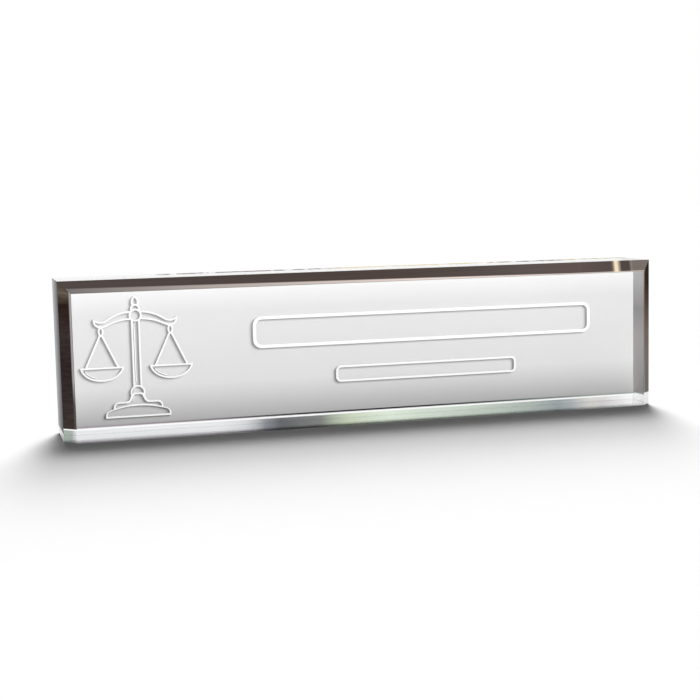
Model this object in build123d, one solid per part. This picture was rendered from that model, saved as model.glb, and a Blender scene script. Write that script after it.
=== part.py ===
from build123d import *
import os
from math import hypot, sqrt

# Clear block: a long slab that stands on its lower edge, with its front face towards -Y
PLATE_LENGTH = 203.2
PLATE_HEIGHT = 50.8
BLOCK_DEPTH = 24.6

# Bevels on the top and both ends of the front face, cut at 45 degrees and covered with foil, which stops
# short of the desk on the ends
BEVEL_RUN = 3.6
FOIL_THICKNESS = 0.15
FOIL_LIFT = 4.5

# Backing panel bonded to the back of the block, with its lower edge held clear of the desk
PANEL_THICKNESS = 0.8
PANEL_LIFT = 1.9

# White inlay in grooves cut into the back of the block
INLAY_DEPTH = 0.8
LINE_WIDTH = 0.54
FINE_LINE_WIDTH = 0.3

# Scales figure: its place on the plate
FIGURE_FROM_END = 25.35
FIGURE_FOOT = 5.15

# Stand of the scales: a low plinth with a crowned top, and a bell-shaped pedestal on it
PLINTH_WIDTH = 20.8
PLINTH_SIDE = 1.65
PLINTH_CROWN = 2.05
PLINTH_CORNER = 1.5
PEDESTAL_TOP = 7.45
PEDESTAL_SHOULDER = 4.65
PEDESTAL_NECK_WIDTH = 3.0
PEDESTAL_WAIST_WIDTH = 5.6
PEDESTAL_WIDTH = 15.6
PEDESTAL_CROWN_CURVE = 1.0
PEDESTAL_FLARE = 1.5
PEDESTAL_END_CURVE = 1.5
PEDESTAL_LIGHT_INSET = 0.75
PEDESTAL_LIGHT_HEAD = 0.35
PEDESTAL_LIGHT_FOOT = 0.85

# Column of the scales, between a ball at its foot and a ring at its head
BALL_RADIUS = 2.15
BALL_ABOVE_PEDESTAL = 0.35
BALL_LIGHT_INSET = 0.7
BALL_LIGHT_NEAR = 0.8
BALL_LIGHT_RISE = 0.15
COLUMN_LENGTH = 25.3
COLUMN_WIDTH = 2.3
COLUMN_LIGHT_LENGTH = 17.6
COLUMN_LIGHT_OFFSET = 0.5
RING_RADIUS = 1.82
DOME_RADIUS = 1.3
DOME_RISE = 2.1
FINIAL_HALF_WIDTH = 0.97
FINIAL_HALF_HEIGHT = 1.75
FINIAL_RISE = 4.3

# Beam of the scales: an S-curved bar that ends in upturned tips
BEAM_THICKNESS = 2.25
BEAM_REACH = 11.3
BEAM_CREST = 1.2
BEAM_DROP = 3.15
BEAM_END_DEPTH = 1.5
BEAM_TROUGH_RADIUS = 3.4
BEAM_FOOT_RADIUS = 4.0
BEAM_TIP_REACH = 2.1

# Pans of the scales, each hung on two chains from a pointed link
LINK_HALF_WIDTH = 0.68
LINK_HEIGHT = 2.8
CHAIN_DROP = 10.5
CHAIN_SPREAD = 10.6
CHAIN_TOP_SPREAD = 0.8
PAN_WIDTH = 13.7
PAN_DEPTH = 4.1
PAN_CENTRE_RISE = 0.85
PAN_LIGHT_INSET = 0.75
PAN_LIGHT_NEAR = 1.6
PAN_LIGHT_FAR = 5.5

# Blank frames for a name and a title
FRAMES_CENTRE = 23.5
NAME_LENGTH = 120.8
NAME_HEIGHT = 9.6
NAME_CENTRE_HEIGHT = 30.7
NAME_LINE_WIDTH = 1.1
NAME_CORNER = 2.4
TITLE_LENGTH = 64.6
TITLE_HEIGHT = 4.9
TITLE_CENTRE_HEIGHT = 15.3
TITLE_LINE_WIDTH = 0.7
TITLE_CORNER = 1.4

# Places worked out from the sizes above
PLATE_DEPTH = BLOCK_DEPTH + PANEL_THICKNESS
FRONT_Y = -PLATE_DEPTH / 2
BLOCK_BACK_Y = FRONT_Y + BLOCK_DEPTH
CLEAR_BEVEL_RUN = BEVEL_RUN + FOIL_THICKNESS * sqrt(2)
FIGURE_X = -PLATE_LENGTH / 2 + FIGURE_FROM_END
PEDESTAL_TOP_Z = FIGURE_FOOT + PEDESTAL_TOP
BALL_Z = PEDESTAL_TOP_Z + BALL_ABOVE_PEDESTAL
RING_Z = BALL_Z + COLUMN_LENGTH
BEAM_TOP_Z = RING_Z + BEAM_THICKNESS / 2
BEAM_TROUGH_Z = BEAM_TOP_Z - BEAM_DROP
BEAM_FOOT_Z = BEAM_TROUGH_Z - BEAM_END_DEPTH
LINK_Z = BEAM_FOOT_Z - LINK_HEIGHT / 2
CHAIN_TOP_Z = BEAM_FOOT_Z - LINK_HEIGHT
PAN_RIM_Z = CHAIN_TOP_Z - CHAIN_DROP

# Two corners closer than this are one corner
SAME_POINT = 0.001

# The back of the block, seen from the front: local X is +X, local Y is +Z, and grooves go towards -Y
BLOCK_BACK = Plane(origin=(0, BLOCK_BACK_Y, 0), x_dir=(1, 0, 0), z_dir=(0, -1, 0))


def slab(bevel_run):
    """Block standing on z = 0, with 45-degree bevels on the top and ends of its front face."""
    block = Box(PLATE_LENGTH, BLOCK_DEPTH, PLATE_HEIGHT, align=(Align.CENTER, Align.MIN, Align.MIN))
    block = Pos(0, FRONT_Y, 0) * block
    front = block.faces().sort_by(Axis.Y)[0]
    lower_edge = front.edges().sort_by(Axis.Z)[0]
    bevelled_edges = [edge for edge in front.edges() if edge != lower_edge]
    return chamfer(bevelled_edges, bevel_run)


def bevel_sector(corners):
    """Prism over corners given as x and z, deep enough to hold one bevel up to its mitres."""
    face = make_face(Polyline(*corners, close=True))
    return extrude(BLOCK_BACK * face, BLOCK_DEPTH)


def bevel_foils():
    """Foil on the top, left and right bevels, mitred where the bevels meet and cut level at the foot."""
    skin = slab(BEVEL_RUN) - slab(CLEAR_BEVEL_RUN)
    end = PLATE_LENGTH / 2
    inner = end - CLEAR_BEVEL_RUN
    below = PLATE_HEIGHT - CLEAR_BEVEL_RUN
    top = bevel_sector([(-end, PLATE_HEIGHT), (end, PLATE_HEIGHT), (inner, below), (-inner, below)])
    left = bevel_sector([(-end, FOIL_LIFT), (-end, PLATE_HEIGHT), (-inner, below), (-inner, FOIL_LIFT)])
    right = bevel_sector([(end, FOIL_LIFT), (end, PLATE_HEIGHT), (inner, below), (inner, FOIL_LIFT)])
    return {
        "bevel_foil_top": skin & top,
        "bevel_foil_left": skin & left,
        "bevel_foil_right": skin & right,
    }


def backing_panel():
    """Flat sheet on the back of the block, from just above the desk to the top edge."""
    sheet = Box(
        PLATE_LENGTH,
        PANEL_THICKNESS,
        PLATE_HEIGHT - PANEL_LIFT,
        align=(Align.CENTER, Align.MIN, Align.MIN),
    )
    return Pos(0, BLOCK_BACK_Y, PANEL_LIFT) * sheet


def stroke(start, end, width):
    """Straight line of the given width from start to end, with square ends."""
    along = (end[0] - start[0], end[1] - start[1])
    length = hypot(*along)
    side = (-along[1] / length * width / 2, along[0] / length * width / 2)
    corners = [
        (start[0] + side[0], start[1] + side[1]),
        (end[0] + side[0], end[1] + side[1]),
        (end[0] - side[0], end[1] - side[1]),
        (start[0] - side[0], start[1] - side[1]),
    ]
    return make_face(Polyline(*corners, close=True))


def disc(radius, z):
    """Filled circle on the figure's axis at height z."""
    return Pos(0, z) * Circle(radius)


def ring(radius, z, width):
    """Circle drawn with a line of the given width, on the figure's axis at height z."""
    return disc(radius + width / 2, z) - disc(radius - width / 2, z)


def pointed_oval(half_width, half_height, grow):
    """Overlap of two equal circles, upright, grown outwards by grow on every side."""
    radius_sum = half_height**2 / half_width
    radius = (radius_sum + half_width) / 2
    offset_x = (radius_sum - half_width) / 2
    return Pos(-offset_x, 0) * Circle(radius + grow) & Pos(offset_x, 0) * Circle(radius + grow)


def pointed_ring(half_width, half_height, width):
    """Pointed oval drawn with a line of the given width."""
    outer = pointed_oval(half_width, half_height, width / 2)
    return outer - pointed_oval(half_width, half_height, -width / 2)


def corner_pair(face, x, z):
    """The two corners of a face at height z, each at x from the figure's axis."""
    return [corner for corner in face.vertices() if hypot(abs(corner.X) - x, corner.Y - z) < SAME_POINT]


def plinth(grow):
    """Filled plinth outline, grown by grow: flat foot, upright sides and a crowned top."""
    half = PLINTH_WIDTH / 2 + grow
    foot = FIGURE_FOOT - grow
    side = FIGURE_FOOT + PLINTH_SIDE
    crown = side + PLINTH_CROWN + grow
    outline = Polyline((-half, side), (-half, foot), (half, foot), (half, side))
    outline += ThreePointArc((half, side), (0, crown), (-half, side))
    face = make_face(outline)
    return fillet(corner_pair(face, half, side), PLINTH_CORNER + grow)


def pedestal(grow):
    """Filled pedestal outline, grown by grow: a bell between two low shoulders."""
    top = PEDESTAL_TOP_Z + grow
    shoulder = FIGURE_FOOT + PEDESTAL_SHOULDER + grow
    neck = PEDESTAL_NECK_WIDTH / 2 + grow
    waist = PEDESTAL_WAIST_WIDTH / 2 + grow
    half = PEDESTAL_WIDTH / 2 + grow
    right = [(neck, top), (waist, shoulder), (half, shoulder), (half, FIGURE_FOOT)]
    left = [(-x, z) for x, z in reversed(right)]
    face = make_face(Polyline(*right, *left, close=True))
    face = fillet(corner_pair(face, neck, top), PEDESTAL_CROWN_CURVE + grow)
    face = fillet(corner_pair(face, waist, shoulder), PEDESTAL_FLARE - grow)
    return fillet(corner_pair(face, half, shoulder), PEDESTAL_END_CURVE + grow)


def pedestal_light():
    """Fine line inside the pedestal, beside its left flank."""
    shoulder = FIGURE_FOOT + PEDESTAL_SHOULDER
    ends = []
    for share in (PEDESTAL_LIGHT_HEAD, PEDESTAL_LIGHT_FOOT):
        flank = PEDESTAL_NECK_WIDTH + share * (PEDESTAL_WAIST_WIDTH - PEDESTAL_NECK_WIDTH)
        ends.append((PEDESTAL_LIGHT_INSET - flank / 2, PEDESTAL_TOP_Z + share * (shoulder - PEDESTAL_TOP_Z)))
    return stroke(*ends, FINE_LINE_WIDTH)


def stand_lines():
    """Plinth and pedestal drawn as outlines, with the pedestal stopping at the plinth."""
    half_line = LINE_WIDTH / 2
    pedestal_line = pedestal(half_line) - pedestal(-half_line) - plinth(half_line)
    plinth_line = plinth(half_line) - plinth(-half_line)
    return plinth_line + pedestal_line + pedestal_light()


def ball_light():
    """Fine arc inside the upper left of the ball, following its curve."""
    arc = ring(BALL_RADIUS - BALL_LIGHT_INSET, BALL_Z, FINE_LINE_WIDTH)
    corner = Pos(-BALL_LIGHT_NEAR, BALL_Z + BALL_LIGHT_RISE)
    return arc & corner * Rectangle(BALL_RADIUS, BALL_RADIUS, align=(Align.MAX, Align.MIN))


def column_lines():
    """Ball, column, ring, dome and finial in one line drawing, standing on the pedestal."""
    half_line = LINE_WIDTH / 2
    ball = ring(BALL_RADIUS, BALL_Z, LINE_WIDTH) - pedestal(half_line)
    shaft = Sketch()
    for side in (-1, 1):
        x = side * COLUMN_WIDTH / 2
        shaft += stroke((x, BALL_Z), (x, RING_Z), LINE_WIDTH)
    shaft -= disc(BALL_RADIUS, BALL_Z)
    shaft -= disc(RING_RADIUS, RING_Z)
    middle = (BALL_Z + RING_Z) / 2
    light_foot = (-COLUMN_LIGHT_OFFSET, middle - COLUMN_LIGHT_LENGTH / 2)
    light_head = (-COLUMN_LIGHT_OFFSET, middle + COLUMN_LIGHT_LENGTH / 2)
    light = stroke(light_foot, light_head, FINE_LINE_WIDTH)
    dome_z = RING_Z + DOME_RISE
    dome = ring(DOME_RADIUS, dome_z, LINE_WIDTH) - disc(RING_RADIUS, RING_Z)
    finial = Pos(0, RING_Z + FINIAL_RISE) * pointed_ring(FINIAL_HALF_WIDTH, FINIAL_HALF_HEIGHT, LINE_WIDTH)
    finial -= disc(DOME_RADIUS, dome_z)
    return ball + ball_light() + shaft + ring(RING_RADIUS, RING_Z, LINE_WIDTH) + dome + finial + light


def ogee(crest, trough, trough_radius):
    """Two tangent arcs falling from a level crest to a level trough, with the trough's radius given."""
    run = trough[0] - crest[0]
    fall = crest[1] - trough[1]
    both_radii = (run**2 + fall**2) / (2 * fall)
    crest_radius = both_radii - trough_radius
    share = crest_radius / both_radii
    turn = (crest[0] + run * share, crest[1] - fall * share)
    upper = TangentArc(crest, turn, tangent=(1, 0))
    return upper + TangentArc(trough, turn, tangent=(-1, 0))


def beam_half():
    """Filled right half of the beam, from the figure's axis to its upturned tip."""
    lower_z = BEAM_TOP_Z - BEAM_THICKNESS
    tip_rise = BEAM_TROUGH_RADIUS - sqrt(BEAM_TROUGH_RADIUS**2 - BEAM_TIP_REACH**2)
    trough = (BEAM_REACH, BEAM_TROUGH_Z)
    foot = (BEAM_REACH, BEAM_FOOT_Z)
    tip = (BEAM_REACH + BEAM_TIP_REACH, BEAM_TROUGH_Z + tip_rise)
    outline = Line((0, BEAM_TOP_Z), (BEAM_CREST, BEAM_TOP_Z))
    outline += ogee((BEAM_CREST, BEAM_TOP_Z), trough, BEAM_TROUGH_RADIUS)
    outline += TangentArc(trough, tip, tangent=(1, 0))
    outline += TangentArc(foot, tip, tangent=(1, 0))
    outline += ogee((BEAM_CREST, lower_z), foot, BEAM_FOOT_RADIUS)
    outline += Polyline((BEAM_CREST, lower_z), (0, lower_z), (0, BEAM_TOP_Z))
    return make_face(outline)


def beam(grow):
    """Filled beam outline, grown by grow on every side."""
    half = beam_half()
    whole = half + mirror(half, Plane.YZ)
    return offset(whole, grow, kind=Kind.INTERSECTION)


def beam_lines():
    """Beam drawn as an outline, stopping at the ring of the column."""
    return beam(LINE_WIDTH / 2) - beam(-LINE_WIDTH / 2) - disc(RING_RADIUS + LINE_WIDTH / 2, RING_Z)


def bowl_oval(grow):
    """Filled ellipse, grown by grow, whose lower part is a pan's curve."""
    oval = Ellipse(PAN_WIDTH / 2 + grow, PAN_DEPTH + PAN_CENTRE_RISE + grow)
    return Pos(0, PAN_RIM_Z + PAN_CENTRE_RISE) * oval


def bowl(grow):
    """Filled bowl of a pan, grown by grow: the part of the ellipse under a level rim."""
    below_rim = Rectangle(2 * PAN_WIDTH, 2 * PAN_WIDTH, align=(Align.CENTER, Align.MAX))
    return bowl_oval(grow) & Pos(0, PAN_RIM_Z + grow) * below_rim


def bowl_light():
    """Fine arc inside the left of a bowl, following its curve."""
    half_line = FINE_LINE_WIDTH / 2
    arc = bowl_oval(half_line - PAN_LIGHT_INSET) - bowl_oval(-half_line - PAN_LIGHT_INSET)
    span = PAN_LIGHT_FAR - PAN_LIGHT_NEAR
    window = Pos(-PAN_LIGHT_NEAR, PAN_RIM_Z) * Rectangle(span, PAN_DEPTH, align=(Align.MAX, Align.MAX))
    return arc & window


def pan_lines(side):
    """One pan with its chains and link, hung under the end of the beam on the given side."""
    half_line = LINE_WIDTH / 2
    link = Pos(0, LINK_Z) * pointed_ring(LINK_HALF_WIDTH, LINK_HEIGHT / 2, LINE_WIDTH)
    chains = Sketch()
    for hand in (-1, 1):
        top = (hand * CHAIN_TOP_SPREAD / 2, CHAIN_TOP_Z)
        foot = (hand * CHAIN_SPREAD / 2, PAN_RIM_Z)
        chains += stroke(top, foot, LINE_WIDTH)
    chains -= bowl(-half_line)
    pan = link + chains + (bowl(half_line) - bowl(-half_line)) + bowl_light()
    return Pos(side * BEAM_REACH, 0) * pan - beam(half_line)


def frame_lines(length, height, corner, centre_height, width):
    """Blank frame with rounded corners, drawn with a line of the given width."""
    outer = RectangleRounded(length + width, height + width, corner + width / 2)
    inner = RectangleRounded(length - width, height - width, corner - width / 2)
    return Pos(FRAMES_CENTRE, centre_height) * (outer - inner)


def inlay(lines):
    """Lines drawn on the back of the block, made solid to the depth of the grooves."""
    return extrude(BLOCK_BACK * lines, INLAY_DEPTH)


def inlays():
    """All white inlays: the scales in five pieces, and the two blank frames."""
    figure = Pos(FIGURE_X, 0)
    name = frame_lines(NAME_LENGTH, NAME_HEIGHT, NAME_CORNER, NAME_CENTRE_HEIGHT, NAME_LINE_WIDTH)
    title = frame_lines(TITLE_LENGTH, TITLE_HEIGHT, TITLE_CORNER, TITLE_CENTRE_HEIGHT, TITLE_LINE_WIDTH)
    return {
        "scales_stand": inlay(figure * stand_lines()),
        "scales_column": inlay(figure * column_lines()),
        "scales_beam": inlay(figure * beam_lines()),
        "scales_left_pan": inlay(figure * pan_lines(-1)),
        "scales_right_pan": inlay(figure * pan_lines(1)),
        "name_frame": inlay(name),
        "title_frame": inlay(title),
    }


white_inlays = inlays()
clear_block = slab(CLEAR_BEVEL_RUN)
for piece in white_inlays.values():
    clear_block -= piece

nodes = {"clear_block": clear_block, "backing_panel": backing_panel()}
nodes.update(bevel_foils())
nodes.update(white_inlays)

os.makedirs("parts", exist_ok=True)
for name, shape in nodes.items():
    export_step(shape, f"parts/{name}.step")
    print(f"{name}: {len(shape.solids())} solids, {shape.volume:.2f} cubic mm")
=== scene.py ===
import math

import bpy
import numpy as np
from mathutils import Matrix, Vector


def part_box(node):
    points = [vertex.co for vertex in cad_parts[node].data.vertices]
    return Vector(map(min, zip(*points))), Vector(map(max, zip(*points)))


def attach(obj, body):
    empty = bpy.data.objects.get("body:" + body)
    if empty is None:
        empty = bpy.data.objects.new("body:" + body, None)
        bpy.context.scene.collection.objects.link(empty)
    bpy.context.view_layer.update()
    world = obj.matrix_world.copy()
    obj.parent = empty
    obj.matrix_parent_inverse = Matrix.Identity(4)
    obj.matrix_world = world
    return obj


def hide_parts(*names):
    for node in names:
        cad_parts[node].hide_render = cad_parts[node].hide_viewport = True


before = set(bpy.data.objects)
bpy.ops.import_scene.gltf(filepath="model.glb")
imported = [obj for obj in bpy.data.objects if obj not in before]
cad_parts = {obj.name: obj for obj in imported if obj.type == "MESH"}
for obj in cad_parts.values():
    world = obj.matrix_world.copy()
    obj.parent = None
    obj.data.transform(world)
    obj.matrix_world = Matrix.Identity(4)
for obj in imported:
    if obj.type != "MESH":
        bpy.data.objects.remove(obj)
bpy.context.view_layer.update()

MM = 0.001
scene = bpy.context.scene

# Clear block. One slab of cast acrylic, cut back at 45 degrees along the top and both ends of its front
# and polished on its long sides. Its ends are finely ground, and its underside is sanded flat to stand on.
# The other pieces are bonded to it or let into its back.

FOIL_THICKNESS = 0.15 * MM
PANEL_BOND = 0.2 * MM
POLISHED_ARRIS = 0.15 * MM
ARRIS_SEGMENTS = 2
ARRIS_SHARPER_THAN = 70
END_FACING = 0.9
ACRYLIC_IOR = 1.49
UNTINTED = "#ffffff"
NOISE_SPAN = (0.3, 0.7)


def bevelled_block(low, high, bevel):
    """Corners and faces of a box whose front is cut back at 45 degrees along its top and both ends.
    The foot is the box's outline with its two front corners cut off, the top is the box's outline moved
    back to where the bevels end, and two more corners close the front face below the top bevel."""
    left, front, foot = low
    right, back, top = high
    shoulder = front + bevel
    corners = np.array([
        (left, back, foot), (right, back, foot), (right, shoulder, foot),
        (right - bevel, front, foot), (left + bevel, front, foot), (left, shoulder, foot),
        (left, back, top), (right, back, top), (right, shoulder, top), (left, shoulder, top),
        (right - bevel, front, top - bevel), (left + bevel, front, top - bevel),
    ])
    faces = [
        (0, 1, 2, 3, 4, 5), (6, 9, 8, 7), (1, 0, 6, 7), (2, 1, 7, 8), (0, 5, 9, 6),
        (4, 3, 10, 11), (3, 2, 8, 10), (5, 4, 11, 9), (11, 10, 8, 9),
    ]
    return corners, faces


def add_piece(name, corners, faces):
    """Object at the origin with these corners and faces as its mesh."""
    mesh = bpy.data.meshes.new(name)
    mesh.from_pydata(corners.tolist(), [], faces)
    mesh.validate()
    piece = bpy.data.objects.new(name, mesh)
    scene.collection.objects.link(piece)
    return piece


def linear(colour):
    """Linear RGBA of an sRGB hex colour."""
    shares = np.array([int(colour[i:i + 2], 16) for i in (1, 3, 5)]) / 255
    curve = ((shares + 0.055) / 1.055) ** 2.4
    return (*np.where(shares <= 0.04045, shares / 12.92, curve).tolist(), 1.0)


def add_node(tree, kind, settings=None, inputs=None, stops=()):
    """Shader node with its settings, its inputs given a value or linked to an output, and its ramp's
    stops."""
    node = tree.nodes.new(kind)
    for name, value in (settings or {}).items():
        setattr(node, name, value)
    for socket, value in (inputs or {}).items():
        if isinstance(value, bpy.types.NodeSocket):
            tree.links.new(value, node.inputs[socket])
        else:
            node.inputs[socket].default_value = value
    if stops:
        elements = node.color_ramp.elements
        while len(elements) < len(stops):
            elements.new(0.5)
        for element, (position, colour) in zip(elements, stops):
            element.position = position
            element.color = linear(colour)
    return node


def new_material(name):
    """Empty node material and the tree that its nodes go into."""
    material = bpy.data.materials.new(name)
    material.use_nodes = True
    material.node_tree.nodes.clear()
    return material, material.node_tree


def finish_acrylic(tree, finish):
    """Acrylic shader on the material's output. Lamp light passes straight in to what lies inside the
    block, and is stopped when it comes from outside, so that the block still shades what it stands
    on."""
    acrylic = add_node(tree, "ShaderNodeBsdfPrincipled", inputs={"IOR": ACRYLIC_IOR, **finish})
    leaves_block = add_node(tree, "ShaderNodeNewGeometry").outputs["Backfacing"]
    lamp_light = add_node(tree, "ShaderNodeBsdfTransparent", inputs={"Color": leaves_block})
    shadow_ray = add_node(tree, "ShaderNodeLightPath").outputs["Is Shadow Ray"]
    surface = add_node(tree, "ShaderNodeMixShader", inputs={
        0: shadow_ray, 1: acrylic.outputs[0], 2: lamp_light.outputs[0]})
    add_node(tree, "ShaderNodeOutputMaterial", inputs={"Surface": surface.outputs[0]})


FOOT_HEIGHT = 4.2 * MM
FOOT_EDGE = 0.2 * MM
# Painted reflections: the foot's tints along its length stand in for the surroundings mirrored in the
# foot, and the streaks below vary them.
FOOT_REFLECTION_TINTS_FROM_END = [
    (2.9, "#626f65"), (3.6, "#dadddf"), (50, "#dadddf"), (57, "#bec1c4"), (64, "#4b4e56"),
    (69, "#222428"), (83, "#3e413e"), (93, "#9fb18c"), (106, "#c6dbbf"), (130, "#a4b8a1"),
    (167, "#5c6769"), (172, "#727c82"), (179, "#b1aea6"), (184, "#b5b0b1"), (197, "#ffffff"),
    (199, "#ffffff"), (200, "#c8cccd")]
FOOT_STREAK = (25 * MM, 2 * MM, 0.35 * MM)
FOOT_STREAK_CONTRAST = 0.12
# Painted contact shadow: below this height the foot's front darkens to this share where it meets the desk.
FOOT_PAINTED_SHADOW_TOP = 0.35 * MM
FOOT_PAINTED_SHADOW_LEVEL = 0.12
UNDERSIDE_ROUGHNESS = 0.08
# Painted reflections: a tinted coat in patches along the back of the top, which darkens the polish when
# seen along it.
TOP_REFLECTION_PATCH = (2.2 * MM, 9 * MM, 9 * MM)
TOP_REFLECTION_SPAN = (0.36, 0.56)
TOP_REFLECTION_STRIP = 6 * MM
TOP_REFLECTION_TINTS_FROM_END = [
    (32, "#ffffff"), (36, "#f9f8f8"), (88, "#f9f8f8"), (98, "#fefdfa"), (148, "#fefdfa"),
    (160, "#f9f8f8"), (166, "#f6f5f5"), (177, "#f6f5f5"), (179, "#fffefe"), (181, "#fdfcf9"),
    (190, "#fbfbf7"), (201, "#fdfdfb")]
THIN = 0.05 * MM


def polished_cast_acrylic():
    """Clear cast acrylic, polished: it bends what is behind it and mirrors its own sides from within.
    The foot of its front carries painted reflections, in soft streaked tints, and a painted contact shadow
    where it meets the desk, and the sanded underside blurs. Along the back of the top lies a tinted coat
    in patches, a painted reflection, which hardly shows from above and darkens the polish when seen along
    it."""
    material, tree = new_material("polished_cast_acrylic")
    place = add_node(tree, "ShaderNodeTexCoord").outputs["Object"]
    axes = add_node(tree, "ShaderNodeSeparateXYZ", inputs={"Vector": place})
    along = add_node(tree, "ShaderNodeMapRange", inputs={
        "Value": axes.outputs["X"], "From Min": block_low[0], "From Max": block_high[0]})
    length = (block_high[0] - block_low[0]) / MM

    # Painted reflections, in tints along the foot.
    foot_reflection_tints = add_node(tree, "ShaderNodeValToRGB", inputs={"Fac": along.outputs["Result"]}, stops=[
        (distance / length, colour) for distance, colour in FOOT_REFLECTION_TINTS_FROM_END])
    stretched = add_node(tree, "ShaderNodeMapping", inputs={
        "Vector": place, "Scale": [1 / size for size in FOOT_STREAK]})
    streaks = add_node(tree, "ShaderNodeTexNoise", inputs={
        "Vector": stretched.outputs[0], "Scale": 1.0, "Detail": 3.0})
    strength = add_node(tree, "ShaderNodeMapRange", inputs={
        "Value": streaks.outputs["Fac"], "From Min": NOISE_SPAN[0], "From Max": NOISE_SPAN[1],
        "To Min": 1 - FOOT_STREAK_CONTRAST, "To Max": 1 + FOOT_STREAK_CONTRAST})
    # Painted contact shadow along the lowest edge of the foot.
    painted_contact_shadow = add_node(tree, "ShaderNodeMapRange", inputs={
        "Value": axes.outputs["Z"], "From Min": FOOT_PAINTED_SHADOW_TOP - FOOT_EDGE, "From Max": FOOT_PAINTED_SHADOW_TOP,
        "To Min": FOOT_PAINTED_SHADOW_LEVEL, "To Max": 1.0})
    shaded = add_node(tree, "ShaderNodeMath", {"operation": "MULTIPLY"}, {
        0: strength.outputs["Result"], 1: painted_contact_shadow.outputs["Result"]})
    streaked = add_node(tree, "ShaderNodeHueSaturation", inputs={
        "Color": foot_reflection_tints.outputs["Color"], "Value": shaded.outputs[0]})
    above_foot = add_node(tree, "ShaderNodeMapRange", inputs={
        "Value": axes.outputs["Z"], "From Min": FOOT_HEIGHT - FOOT_EDGE, "From Max": FOOT_HEIGHT})
    behind_front = add_node(tree, "ShaderNodeMapRange", inputs={
        "Value": axes.outputs["Y"], "From Min": block_low[1] + clear_bevel,
        "From Max": block_low[1] + clear_bevel + THIN})
    untinted = add_node(tree, "ShaderNodeMath", {"operation": "MAXIMUM"}, {
        0: above_foot.outputs["Result"], 1: behind_front.outputs["Result"]})
    colour = add_node(tree, "ShaderNodeMix", {"data_type": "RGBA"}, {
        "Factor": untinted.outputs[0], 6: streaked.outputs["Color"], 7: linear(UNTINTED)})

    # Painted reflections, in a tinted coat along the back of the top.
    patched = add_node(tree, "ShaderNodeMapping", inputs={
        "Vector": place, "Scale": [1 / size for size in TOP_REFLECTION_PATCH]})
    patches = add_node(tree, "ShaderNodeTexNoise", inputs={
        "Vector": patched.outputs[0], "Scale": 1.0, "Detail": 2.0})
    top_reflection_tints = add_node(tree, "ShaderNodeValToRGB", inputs={"Fac": along.outputs["Result"]}, stops=[
        (distance / length, colour) for distance, colour in TOP_REFLECTION_TINTS_FROM_END])
    top_reflection = add_node(tree, "ShaderNodeMapRange", inputs={
        "Value": patches.outputs["Fac"], "From Min": TOP_REFLECTION_SPAN[0],
        "From Max": TOP_REFLECTION_SPAN[1]}).outputs["Result"]
    back_strip = add_node(tree, "ShaderNodeMapRange", inputs={
        "Value": axes.outputs["Y"], "From Min": block_high[1] - TOP_REFLECTION_STRIP,
        "From Max": block_high[1] - TOP_REFLECTION_STRIP + THIN})
    on_top = add_node(tree, "ShaderNodeMapRange", inputs={
        "Value": axes.outputs["Z"], "From Min": block_high[2] - 2 * THIN,
        "From Max": block_high[2] - THIN})
    for mask in (back_strip, on_top):
        top_reflection = add_node(tree, "ShaderNodeMath", {"operation": "MULTIPLY"}, {
            0: top_reflection, 1: mask.outputs["Result"]}).outputs[0]
    film = add_node(tree, "ShaderNodeMix", {"data_type": "RGBA"}, {
        "Factor": top_reflection, 6: linear(UNTINTED), 7: top_reflection_tints.outputs["Color"]})

    roughness = add_node(tree, "ShaderNodeMapRange", inputs={
        "Value": axes.outputs["Z"], "From Min": 0.0, "From Max": THIN,
        "To Min": UNDERSIDE_ROUGHNESS, "To Max": 0.0})
    finish_acrylic(tree, {
        "Base Color": colour.outputs[2], "Roughness": roughness.outputs["Result"],
        "Transmission Weight": 1.0, "Coat Weight": 1.0, "Coat IOR": 1.0, "Coat Tint": film.outputs[2]})
    return material


GROUND_CLARITY = 0.2
GROUND_GRIT = 0.3 * MM
GROUND_ROUGHNESS = (0.25, 0.45)
GROUND_FOOT = 2.8 * MM
# Painted shade on the left end, darker towards the front.
LEFT_END_PAINTED_SHADE_FROM_FRONT = [(4, "#54525a"), (14, "#a6a6aa"), (24, "#dcdcdc")]
# Painted reflections on the right end, changing with height.
RIGHT_END_PAINTED_REFLECTIONS_FROM_FOOT = [
    (4, "#e6dfdd"), (9, "#d9d3d2"), (22, "#d8d2d2"), (33, "#a9a5a5"), (46, "#f0edee")]


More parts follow.
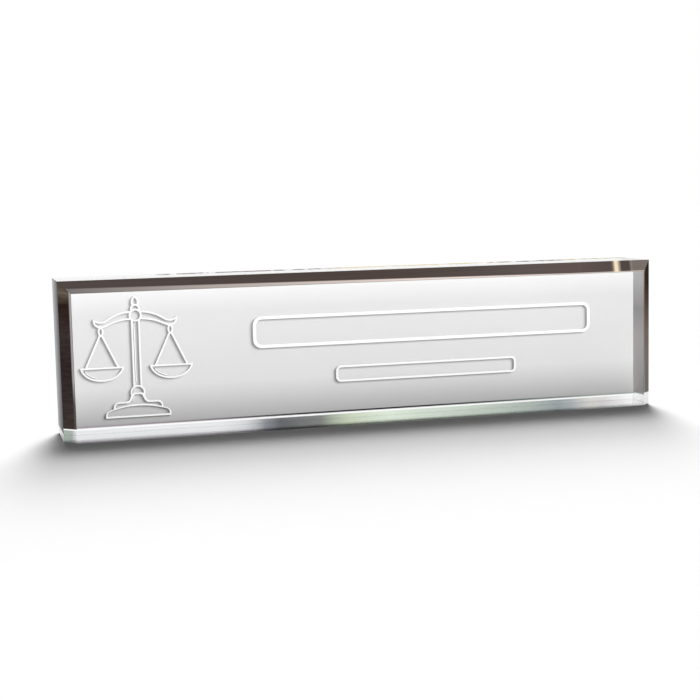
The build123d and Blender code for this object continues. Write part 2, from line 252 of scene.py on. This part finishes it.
def ground_cast_acrylic(name, axis, painted_greys):
    """Cast acrylic ground with fine grit: it scatters light, and is polished clear near the foot. Above
    the foot its colour is a grey that changes from the block's front or foot: painted shade on the left
    end, darker towards the front, and painted reflections on the right end, changing with height. Real
    grit marks are some hundredths of a millimetre wide, and are drawn coarser so that they show."""
    material, tree = new_material(name)
    place = add_node(tree, "ShaderNodeTexCoord").outputs["Object"]
    axes = add_node(tree, "ShaderNodeSeparateXYZ", inputs={"Vector": place})
    above_foot = add_node(tree, "ShaderNodeMapRange", inputs={
        "Value": axes.outputs["Z"], "From Min": GROUND_FOOT - FOOT_EDGE, "From Max": GROUND_FOOT})
    start = block_low["XYZ".index(axis)]
    reach = painted_greys[-1][0]
    along = add_node(tree, "ShaderNodeMapRange", inputs={
        "Value": axes.outputs[axis], "From Min": start, "From Max": start + reach * MM})
    shades = add_node(tree, "ShaderNodeValToRGB", inputs={"Fac": along.outputs["Result"]}, stops=[
        (distance / reach, grey) for distance, grey in painted_greys])
    colour = add_node(tree, "ShaderNodeMix", {"data_type": "RGBA"}, {
        "Factor": above_foot.outputs["Result"], 6: linear(UNTINTED), 7: shades.outputs["Color"]})
    clarity = add_node(tree, "ShaderNodeMapRange", inputs={
        "Value": above_foot.outputs["Result"], "To Min": 1.0, "To Max": GROUND_CLARITY})
    grit = add_node(tree, "ShaderNodeTexNoise", inputs={"Vector": place, "Scale": 1 / GROUND_GRIT})
    roughness = add_node(tree, "ShaderNodeMapRange", inputs={
        "Value": grit.outputs["Fac"], "To Min": GROUND_ROUGHNESS[0], "To Max": GROUND_ROUGHNESS[1]})
    finish_acrylic(tree, {
        "Base Color": colour.outputs[2], "Roughness": roughness.outputs["Result"],
        "Transmission Weight": clarity.outputs["Result"], "Specular IOR Level": 0.0})
    return material


block_low, block_high = (np.array(corner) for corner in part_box("clear_block"))
top_foil_low, top_foil_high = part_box("bevel_foil_top")
foil_front = top_foil_low[1]
clear_bevel = top_foil_high[1] - foil_front - FOIL_THICKNESS / math.sqrt(2)
block_high[1] += PANEL_BOND
block = add_piece("clear_block_polished", *bevelled_block(block_low, block_high, clear_bevel))
arris = block.modifiers.new("polished_arris", "BEVEL")
arris.width = POLISHED_ARRIS
arris.segments = ARRIS_SEGMENTS
arris.limit_method = "ANGLE"
arris.angle_limit = math.radians(ARRIS_SHARPER_THAN)
block.data.materials.append(polished_cast_acrylic())
block.data.materials.append(ground_cast_acrylic(
    "ground_cast_acrylic_left", "Y", LEFT_END_PAINTED_SHADE_FROM_FRONT))
block.data.materials.append(ground_cast_acrylic(
    "ground_cast_acrylic_right", "Z", RIGHT_END_PAINTED_REFLECTIONS_FROM_FOOT))
for face in block.data.polygons:
    if face.normal.x < -END_FACING:
        face.material_index = 1
    elif face.normal.x > END_FACING:
        face.material_index = 2
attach(block, "root")
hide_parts("clear_block")
block.visible_diffuse = False

# Backing panel. A thin rigid sheet bonded to the back of the block, printed on its face with a white
# that fades to silver grey at the foot. It stops short of the block's lower edge, which stays clear.

PANEL_PRINT = [
    (0.0, "#adadad"), (0.08, "#bebebe"), (0.17, "#cfcfcf"), (0.26, "#dcdcdc"), (0.5, "#dbdbdb"),
    (0.75, "#dddddd"), (0.87, "#e9e9e9"), (1.0, "#f6f6f6")]
# Painted shade: the print turns greyer over the right end, where the floor lights it more.
PANEL_RIGHT_PAINTED_SHADE = 0.94
PANEL_RIGHT_PAINTED_SHADE_FROM = 163 * MM
# Painted reflections and highlight: the dark line along the panel's lower edge takes these tints along its
# length, and the white border is a painted highlight; the block's foot mirrors both.
PANEL_BORDER = 0.2 * MM
PANEL_BORDER_HIGHLIGHT_WHITE = "#f2f2f2"
PANEL_EDGE_LINE = 0.55 * MM
PANEL_EDGE_REFLECTION_TINTS_FROM_END = [
    (20, "#a399a0"), (45, "#8d858c"), (60, "#625c63"), (76, "#363238"), (103, "#161413"),
    (125, "#242722"), (146, "#47504c"), (160, "#66746e"), (189, "#95a09b")]
PANEL_BACK = "#9a9b9d"
PANEL_GRAIN = 0.4 * MM
PANEL_ROUGHNESS = (0.5, 0.7)


def printed_panel():
    """Matt print under acrylic: an even white that darkens to grey over the lowest quarter, with painted
    shade that makes it greyer towards the right end, where the floor lights it more.
    Along its lower edge run a fine dark line, its tints painted reflections, and a white border, a painted
    highlight; the block's foot mirrors both.
    The sheet's own back is plain grey. Its real grain is about a tenth of a millimetre, and is drawn
    coarser so that it shows."""
    material, tree = new_material("matt_printed_sheet")
    place = add_node(tree, "ShaderNodeTexCoord").outputs["Object"]
    axes = add_node(tree, "ShaderNodeSeparateXYZ", inputs={"Vector": place})
    panel_low, panel_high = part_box("backing_panel")
    share = add_node(tree, "ShaderNodeMapRange", inputs={
        "Value": axes.outputs["Z"], "From Min": panel_low[2], "From Max": panel_high[2]})
    fade = add_node(
        tree, "ShaderNodeValToRGB", inputs={"Fac": share.outputs["Result"]}, stops=PANEL_PRINT)
    length = (panel_high[0] - panel_low[0]) / MM
    along = add_node(tree, "ShaderNodeMapRange", inputs={
        "Value": axes.outputs["X"], "From Min": panel_low[0], "From Max": panel_high[0]})
    edge_reflection_tints = add_node(tree, "ShaderNodeValToRGB", inputs={"Fac": along.outputs["Result"]}, stops=[
        (distance / length, colour) for distance, colour in PANEL_EDGE_REFLECTION_TINTS_FROM_END])
    # Painted shade towards the right end.
    painted_right_shade = add_node(tree, "ShaderNodeMapRange", inputs={
        "Value": axes.outputs["X"], "From Min": panel_low[0] + PANEL_RIGHT_PAINTED_SHADE_FROM,
        "From Max": panel_high[0], "To Min": 1.0, "To Max": PANEL_RIGHT_PAINTED_SHADE})
    shaded = add_node(tree, "ShaderNodeHueSaturation", inputs={
        "Color": fade.outputs["Color"], "Value": painted_right_shade.outputs["Result"]})
    # Painted reflections and highlight along the lower edge.
    border_top = panel_low[2] + PANEL_BORDER
    line_top = border_top + PANEL_EDGE_LINE
    above_border = add_node(tree, "ShaderNodeMapRange", inputs={
        "Value": axes.outputs["Z"], "From Min": border_top, "From Max": border_top + THIN})
    above_line = add_node(tree, "ShaderNodeMapRange", inputs={
        "Value": axes.outputs["Z"], "From Min": line_top, "From Max": line_top + THIN})
    edge = add_node(tree, "ShaderNodeMix", {"data_type": "RGBA"}, {
        "Factor": above_border.outputs["Result"], 6: linear(PANEL_BORDER_HIGHLIGHT_WHITE),
        7: edge_reflection_tints.outputs["Color"]})
    face = add_node(tree, "ShaderNodeMix", {"data_type": "RGBA"}, {
        "Factor": above_line.outputs["Result"], 6: edge.outputs[2], 7: shaded.outputs["Color"]})
    behind = add_node(tree, "ShaderNodeMapRange", inputs={
        "Value": axes.outputs["Y"], "From Min": panel_low[1] + THIN,
        "From Max": panel_low[1] + 2 * THIN})
    colour = add_node(tree, "ShaderNodeMix", {"data_type": "RGBA"}, {
        "Factor": behind.outputs["Result"], 6: face.outputs[2], 7: linear(PANEL_BACK)})
    grain = add_node(tree, "ShaderNodeTexNoise", inputs={
        "Vector": place, "Scale": 1 / PANEL_GRAIN, "Detail": 2.0})
    roughness = add_node(tree, "ShaderNodeMapRange", inputs={
        "Value": grain.outputs["Fac"], "To Min": PANEL_ROUGHNESS[0], "To Max": PANEL_ROUGHNESS[1]})
    sheet = add_node(tree, "ShaderNodeBsdfPrincipled", inputs={
        "Base Color": colour.outputs[2], "Roughness": roughness.outputs["Result"],
        "Specular IOR Level": 0.0})
    add_node(tree, "ShaderNodeOutputMaterial", inputs={"Surface": sheet.outputs[0]})
    return material


def dress(node, material):
    """Gives a CAD node this material alone."""
    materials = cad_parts[node].data.materials
    materials.clear()
    materials.append(material)


dress("backing_panel", printed_panel())
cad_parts["backing_panel"].visible_diffuse = False

# Bevel foils. Dark bronze foil stamped hot on to the three bevels and mitred at the corners. It is
# satin, with fine streaks where the stamping roller ran, and carries painted reflections, a painted glint
# on the top foil and a painted highlight along its inner edge.

FOIL_HIGHLIGHT_BLEND = 0.3 * MM
FOIL_PALE_BY = 0.75
FOIL_EDGE_TINT = "#c0bcba"
FOIL_ROUGHNESS = (0.25, 0.5)


def stamped_bronze_foil(name, axis, colours, slant, streak, contrast, edge_highlight):
    """Satin bronze foil. Its colour changes along the bevel, on lines that slant by the given run over
    the bevel's depth: the foil's brown, with painted reflections and, on the top foil, a painted glint.
    Streaks run through it, drawn coarser than a roller's real ones so that they show. Along its inner edge
    runs a painted highlight, pale, over a width that changes between two places, and at its palest before
    the second."""
    material, tree = new_material(name)
    place = add_node(tree, "ShaderNodeTexCoord").outputs["Object"]
    axes = add_node(tree, "ShaderNodeSeparateXYZ", inputs={"Vector": place})
    slanted = add_node(tree, "ShaderNodeMath", {"operation": "MULTIPLY_ADD"}, {
        0: axes.outputs["Y"], 1: -slant, 2: axes.outputs[axis]})
    low = colours[0][0]
    high = colours[-1][0]
    along = add_node(tree, "ShaderNodeMapRange", inputs={
        "Value": slanted.outputs[0], "From Min": low * MM - slant * foil_front,
        "From Max": high * MM - slant * foil_front})
    # The foil's brown along the bevel, with painted reflections and glint.
    browns_and_painted_light = add_node(tree, "ShaderNodeValToRGB", inputs={"Fac": along.outputs["Result"]}, stops=[
        ((position - low) / (high - low), colour) for position, colour in colours])
    stretched = add_node(tree, "ShaderNodeMapping", inputs={
        "Vector": place, "Scale": [1 / (size * MM) for size in streak]})
    streaks = add_node(tree, "ShaderNodeTexNoise", inputs={
        "Vector": stretched.outputs[0], "Scale": 1.0, "Detail": 4.0, "Roughness": 0.6})
    strength = add_node(tree, "ShaderNodeMapRange", inputs={
        "Value": streaks.outputs["Fac"], "From Min": NOISE_SPAN[0], "From Max": NOISE_SPAN[1],
        "To Min": 1 - contrast, "To Max": 1 + contrast})
    streaked = add_node(tree, "ShaderNodeHueSaturation", inputs={
        "Color": browns_and_painted_light.outputs["Color"], "Value": strength.outputs["Result"]})
    # Painted highlight along the inner edge.
    (highlight_from, width_from, pale_from), (highlight_to, width_to, pale_to) = edge_highlight
    share = add_node(tree, "ShaderNodeMapRange", inputs={
        "Value": axes.outputs[axis], "From Min": highlight_from * MM,
        "From Max": highlight_to * MM}).outputs["Result"]
    paleness = add_node(tree, "ShaderNodeMapRange", inputs={"Value": share, "From Max": FOIL_PALE_BY})
    pale = add_node(tree, "ShaderNodeMix", {"data_type": "RGBA"}, {
        "Factor": paleness.outputs["Result"], 6: linear(pale_from), 7: linear(pale_to)})
    highlight_width = add_node(tree, "ShaderNodeMapRange", inputs={
        "Value": share, "To Min": width_from * MM, "To Max": width_to * MM})
    beyond_highlight = add_node(tree, "ShaderNodeMath", {"operation": "SUBTRACT"}, {
        0: axes.outputs["Y"], 1: highlight_width.outputs["Result"]})
    highlight_share = add_node(tree, "ShaderNodeMapRange", inputs={
        "Value": beyond_highlight.outputs[0], "From Min": foil_front - FOIL_HIGHLIGHT_BLEND / 2,
        "From Max": foil_front + FOIL_HIGHLIGHT_BLEND / 2, "To Min": 1.0, "To Max": 0.0})
    colour = add_node(tree, "ShaderNodeMix", {"data_type": "RGBA"}, {
        "Factor": highlight_share.outputs["Result"], 6: streaked.outputs["Color"], 7: pale.outputs[2]})
    roughness = add_node(tree, "ShaderNodeMapRange", inputs={
        "Value": streaks.outputs["Fac"], "To Min": FOIL_ROUGHNESS[0], "To Max": FOIL_ROUGHNESS[1]})
    foil = add_node(tree, "ShaderNodeBsdfPrincipled", inputs={
        "Base Color": colour.outputs[2], "Metallic": 1.0, "Roughness": roughness.outputs["Result"],
        "Specular Tint": linear(FOIL_EDGE_TINT)})
    add_node(tree, "ShaderNodeOutputMaterial", inputs={"Surface": foil.outputs[0]})
    return material


# From 86.7 to 88.4 mm the top foil's colour is a painted glint, a pale gold highlight; the rest is the
# foil's brown.
TOP_FOIL_BROWNS_AND_GLINT = [
    (-101.6, "#554b48"), (-54, "#514744"), (3, "#544843"), (30, "#574e4a"), (52, "#615855"),
    (74, "#665854"), (84, "#5b514e"), (86.3, "#5b514e"), (86.7, "#fdeccb"), (88.4, "#fdeccb"),
    (88.8, "#554c49"), (93.0, "#544b48"), (93.3, "#9a8f88"), (94.0, "#7e746e")]
# The side foils' browns change with height: painted reflections, lighter near the top of the left foil,
# paler low on the right foil and dark at its top.
LEFT_FOIL_BROWNS_AND_REFLECTIONS = [
    (4.5, "#3f3633"), (11, "#393130"), (24, "#2f2625"), (34, "#393030"), (43.3, "#2b2019"),
    (45.5, "#4c433a"), (47.5, "#62584d"), (50.8, "#4b423e")]
RIGHT_FOIL_BROWNS_AND_REFLECTIONS = [
    (4.5, "#787270"), (16, "#7d7473"), (26.5, "#736a66"), (37, "#403838"), (43, "#120c0a"),
    (50.8, "#060404")]
ROLLER_STREAK = (40, 0.3, 0.3)
CROSS_STREAK = (5, 5, 0.9)
# Painted highlight: a pale line along each foil's inner edge.
TOP_EDGE_HIGHLIGHT = ((-100, 1.3, "#7d7877"), (70, 0.1, "#f8e8df"))
LEFT_EDGE_HIGHLIGHT = ((12, 0.35, "#5c5554"), (22, 0.45, "#a8a4a3"))
RIGHT_EDGE_HIGHLIGHT = ((10, 0.35, "#a2aea5"), (42, 0.35, "#9b7a59"))
dress("bevel_foil_top", stamped_bronze_foil(
    "stamped_bronze_foil_top", "X", TOP_FOIL_BROWNS_AND_GLINT, slant=0.37,
    streak=ROLLER_STREAK, contrast=0.15, edge_highlight=TOP_EDGE_HIGHLIGHT))
dress("bevel_foil_left", stamped_bronze_foil(
    "stamped_bronze_foil_left", "Z", LEFT_FOIL_BROWNS_AND_REFLECTIONS, slant=0.0,
    streak=CROSS_STREAK, contrast=0.35, edge_highlight=LEFT_EDGE_HIGHLIGHT))
dress("bevel_foil_right", stamped_bronze_foil(
    "stamped_bronze_foil_right", "Z", RIGHT_FOIL_BROWNS_AND_REFLECTIONS, slant=0.0,
    streak=CROSS_STREAK, contrast=0.2, edge_highlight=RIGHT_EDGE_HIGHLIGHT))
for node in ("bevel_foil_top", "bevel_foil_left", "bevel_foil_right"):
    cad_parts[node].visible_shadow = False

# Scales and frames. White enamel run into grooves that are cut in the back of the block before the
# panel goes on: the line drawing of a pair of scales, and two blank frames.

ENAMEL_WHITE = "#fbfbfb"
ENAMEL_MOTTLE = 0.8 * MM
ENAMEL_ROUGHNESS = (0.2, 0.4)
ENAMEL_IOR = 1.52


def white_enamel():
    """Self-levelling enamel: opaque, even white with a faint mottle."""
    material, tree = new_material("white_enamel")
    place = add_node(tree, "ShaderNodeTexCoord").outputs["Object"]
    mottle = add_node(tree, "ShaderNodeTexNoise", inputs={
        "Vector": place, "Scale": 1 / ENAMEL_MOTTLE, "Detail": 2.0})
    roughness = add_node(tree, "ShaderNodeMapRange", inputs={
        "Value": mottle.outputs["Fac"], "To Min": ENAMEL_ROUGHNESS[0], "To Max": ENAMEL_ROUGHNESS[1]})
    enamel = add_node(tree, "ShaderNodeBsdfPrincipled", inputs={
        "Base Color": linear(ENAMEL_WHITE), "Roughness": roughness.outputs["Result"],
        "IOR": ENAMEL_IOR})
    add_node(tree, "ShaderNodeOutputMaterial", inputs={"Surface": enamel.outputs[0]})
    return material


INLAYS = ("scales_stand", "scales_column", "scales_beam", "scales_left_pan", "scales_right_pan",
          "name_frame", "title_frame")
enamel = white_enamel()
for node in INLAYS:
    dress(node, enamel)
    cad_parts[node].visible_diffuse = False

# Floor and light. A white table top under broad soft lamps: most of the light comes from behind and
# above, which throws the plate's shadow forward, and two low lamps in front light the panel.

FLOOR_GAP = 0.2 * MM
FLOOR_REACH = 4.0
LAMINATE_WHITE = "#f6f6f6"
LAMINATE_GRAIN = 2 * MM
LAMINATE_ROUGHNESS = (0.85, 0.95)
floor_corners = np.array([
    (-FLOOR_REACH, -FLOOR_REACH, -FLOOR_GAP), (FLOOR_REACH, -FLOOR_REACH, -FLOOR_GAP),
    (FLOOR_REACH, FLOOR_REACH, -FLOOR_GAP), (-FLOOR_REACH, FLOOR_REACH, -FLOOR_GAP)])
floor = add_piece("floor", floor_corners, [(0, 1, 2, 3)])


def white_table_top():
    """Matt white laminate, pressed with a fine grain that is drawn coarser than real so that it shows."""
    material, tree = new_material("matt_white_laminate")
    place = add_node(tree, "ShaderNodeTexCoord").outputs["Object"]
    grain = add_node(tree, "ShaderNodeTexNoise", inputs={"Vector": place, "Scale": 1 / LAMINATE_GRAIN})
    roughness = add_node(tree, "ShaderNodeMapRange", inputs={
        "Value": grain.outputs["Fac"], "To Min": LAMINATE_ROUGHNESS[0],
        "To Max": LAMINATE_ROUGHNESS[1]})
    laminate = add_node(tree, "ShaderNodeBsdfPrincipled", inputs={
        "Base Color": linear(LAMINATE_WHITE), "Roughness": roughness.outputs["Result"],
        "Specular IOR Level": 0.0})
    add_node(tree, "ShaderNodeOutputMaterial", inputs={"Surface": laminate.outputs[0]})
    return material


floor.data.materials.append(white_table_top())

AMBIENT = 0.08
AROUND = 0.95
world = bpy.data.worlds.new("white_studio")
world.use_nodes = True
scene.world = world
tree = world.node_tree
tree.nodes.clear()
light_path = add_node(tree, "ShaderNodeLightPath")
through = add_node(tree, "ShaderNodeMath", {"operation": "MAXIMUM"}, {
    0: light_path.outputs["Is Glossy Ray"], 1: light_path.outputs["Is Transmission Ray"]})
level = add_node(tree, "ShaderNodeMapRange", inputs={
    "Value": through.outputs[0], "To Min": AMBIENT, "To Max": AROUND})
level = add_node(tree, "ShaderNodeMath", {"operation": "MAXIMUM"}, {
    0: level.outputs["Result"], 1: light_path.outputs["Is Camera Ray"]})
studio = add_node(tree, "ShaderNodeBackground", inputs={
    "Color": (1.0, 1.0, 1.0, 1.0), "Strength": level.outputs[0]})
add_node(tree, "ShaderNodeOutputWorld", inputs={"Surface": studio.outputs[0]})


def add_sun(name, azimuth, elevation, strength, spread):
    """Sun lamp that shines from an azimuth (0 is the front, 90 the right end) and an elevation, both in
    degrees, as is the width that it seems to have."""
    lamp = bpy.data.lights.new(name, "SUN")
    lamp.energy = strength
    lamp.angle = math.radians(spread)
    holder = bpy.data.objects.new(name, lamp)
    holder.rotation_euler = (math.radians(90 - elevation), 0, math.radians(azimuth))
    scene.collection.objects.link(holder)
    return holder


BACK_AZIMUTH = 164
BACK_SPREAD = 18
BACK_LAMPS = [
    (76, 0.33), (69, 0.6), (62, 0.65), (55, 0.36), (48, 0.34),
    (41, 0.5), (35, 0.57), (29.5, 0.49), (24.5, 0.41), (20.5, 0.39)]
for elevation, strength in BACK_LAMPS:
    lamp = add_sun(f"back_{elevation}", BACK_AZIMUTH, elevation, strength, BACK_SPREAD)
    lamp.visible_transmission = False
    lamp.visible_glossy = False
key = add_sun("front_key", azimuth=46, elevation=24, strength=3.34, spread=36)
fill = add_sun("front_fill", azimuth=-12, elevation=6, strength=0.73, spread=60)
under_glass = bpy.data.collections.new("under_glass")
for node in ("backing_panel", *INLAYS):
    under_glass.objects.link(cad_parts[node])
for lamp in (key, fill):
    lamp.light_linking.receiver_collection = under_glass

# Camera. It stands a little to the left of the plate and above it.

camera = bpy.data.objects.new("camera", bpy.data.cameras.new("camera"))
camera.data.sensor_width = 36.0
camera.data.lens = 72.72
camera.location = (-132.963 * MM, -456.473 * MM, 76.285 * MM)
camera.rotation_euler = [math.radians(angle) for angle in (83.6493, 1.2371, -15.8040)]
camera.data.clip_start = 0.01
scene.collection.objects.link(camera)
scene.camera = camera

scene.view_settings.view_transform = "Standard"
